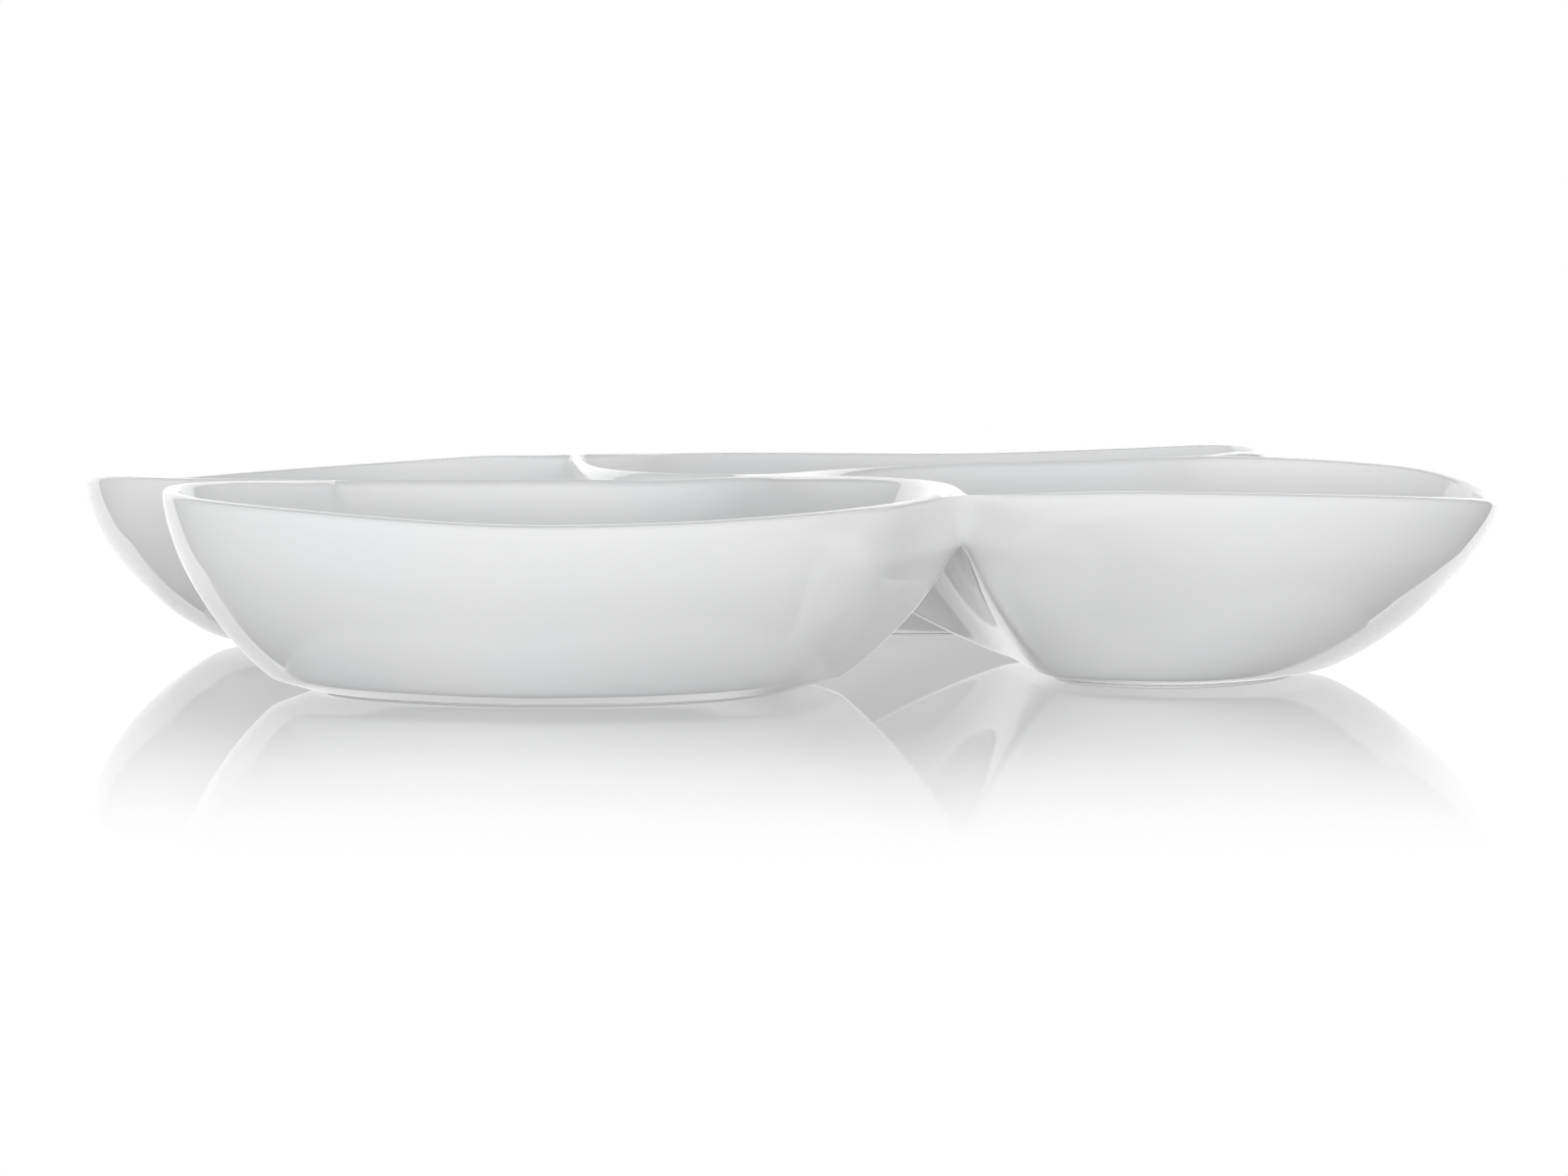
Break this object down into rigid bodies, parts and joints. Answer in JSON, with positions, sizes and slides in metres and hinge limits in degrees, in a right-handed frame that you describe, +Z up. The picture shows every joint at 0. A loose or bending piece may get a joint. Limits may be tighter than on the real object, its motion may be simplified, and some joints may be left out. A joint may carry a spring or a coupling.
{
  "type": "divided serving bowl",
  "caption": "Low pinwheel-shaped serving bowl of white glazed porcelain, with rounded lobes divided by curving ridges, standing on unglazed foot rings.",
  "frame": {"origin": "on the table below the centre where the ridges meet", "axes": "+Z up; +X to the right and +Y away from someone who faces the front left and front right lobes"},
  "size_m": [0.3622, 0.3622, 0.05],
  "materials": {
    "glazed_porcelain": "clear gloss glaze over white porcelain",
    "unglazed_porcelain": "bare fired porcelain, ground flat and matte"
  },
  "bodies": {
    "root": {"front_left_bowl": "glazed_porcelain", "front_right_bowl": "glazed_porcelain", "back_right_bowl": "glazed_porcelain", "back_left_bowl": "glazed_porcelain", "front_left_foot": "unglazed_porcelain", "front_right_foot": "unglazed_porcelain", "back_right_foot": "unglazed_porcelain", "back_left_foot": "unglazed_porcelain"}
  },
  "joints": []
}
